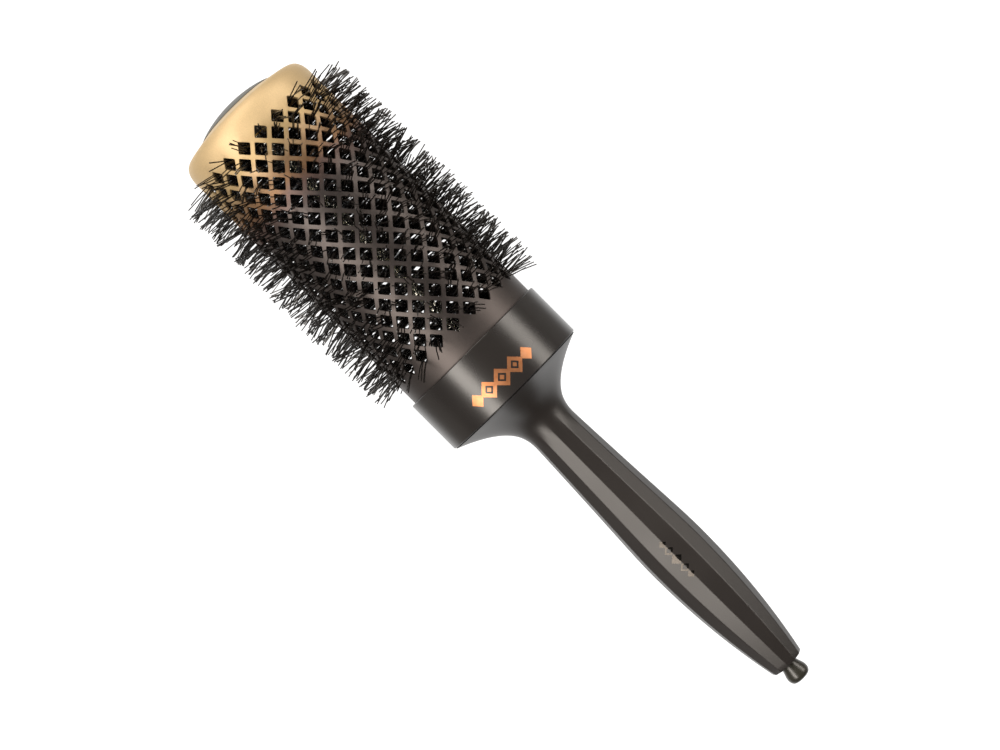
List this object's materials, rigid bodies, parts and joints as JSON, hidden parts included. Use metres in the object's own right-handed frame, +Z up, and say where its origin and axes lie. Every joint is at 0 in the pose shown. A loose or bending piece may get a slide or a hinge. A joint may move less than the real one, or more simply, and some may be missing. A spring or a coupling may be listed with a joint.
{
  "type": "round barrel brush",
  "caption": "Round hair brush with a perforated metal barrel, radial bristles, a domed front cap, a collar, a flared faceted handle and a pull-out sectioning pick in its tail.",
  "frame": {"origin": "Middle of the bounding box, on the brush's axis.", "axes": "+X along the brush's axis, out of the barrel's front end. +Z up with the brush lying on its side, through a column of holes in the first row. +Y completes the right-handed frame."},
  "size_m": [0.2684, 0.073, 0.073],
  "materials": {
    "barrel_coating": "tinted satin coat, gold at the front fading to brown",
    "cap_plastic": "moulded satin",
    "bristle_nylon": "drawn filament",
    "core_steel": "bright drawn wire",
    "ferrule_brass": "crimped",
    "collar_plastic": "satin gloss",
    "handle_plastic": "soft-touch coat",
    "pin_steel": "ground",
    "grommet_rubber": "moulded"
  },
  "bodies": {
    "brush": {"barrel_pin_1": "pin_steel", "barrel_pin_2": "pin_steel", "barrel_pin_3": "pin_steel", "barrel_tube": "barrel_coating", "bristle_row_01": "bristle_nylon", "bristle_row_02": "bristle_nylon", "bristle_row_03": "bristle_nylon", "bristle_row_04": "bristle_nylon", "bristle_row_05": "bristle_nylon", "bristle_row_06": "bristle_nylon", "bristle_row_07": "bristle_nylon", "bristle_row_08": "bristle_nylon", "bristle_row_09": "bristle_nylon", "bristle_row_10": "bristle_nylon", "bristle_row_11": "bristle_nylon", "bristle_row_12": "bristle_nylon", "bristle_row_13": "bristle_nylon", "bristle_row_14": "bristle_nylon", "bristle_row_15": "bristle_nylon", "bristle_row_16": "bristle_nylon", "bristle_row_17": "bristle_nylon", "bristle_row_18": "bristle_nylon", "bristle_row_19": "bristle_nylon", "bristle_row_20": "bristle_nylon", "bristle_row_21": "bristle_nylon", "bristle_row_22": "bristle_nylon", "bristle_row_23": "bristle_nylon", "collar": "collar_plastic", "core_ferrule_front": "ferrule_brass", "core_ferrule_rear": "ferrule_brass", "core_wire_1": "core_steel", "core_wire_2": "core_steel", "front_cap": "cap_plastic", "handle": "handle_plastic", "pick_grommet": "grommet_rubber"},
    "pick": {"pick_pin": "pin_steel", "pick_knob": "handle_plastic"}
  },
  "joints": [
    {"name": "pick_slide", "type": "slide", "parent": "brush", "child": "pick", "axis": [-1, 0, 0], "range_m": [0, 0.08]}
  ]
}
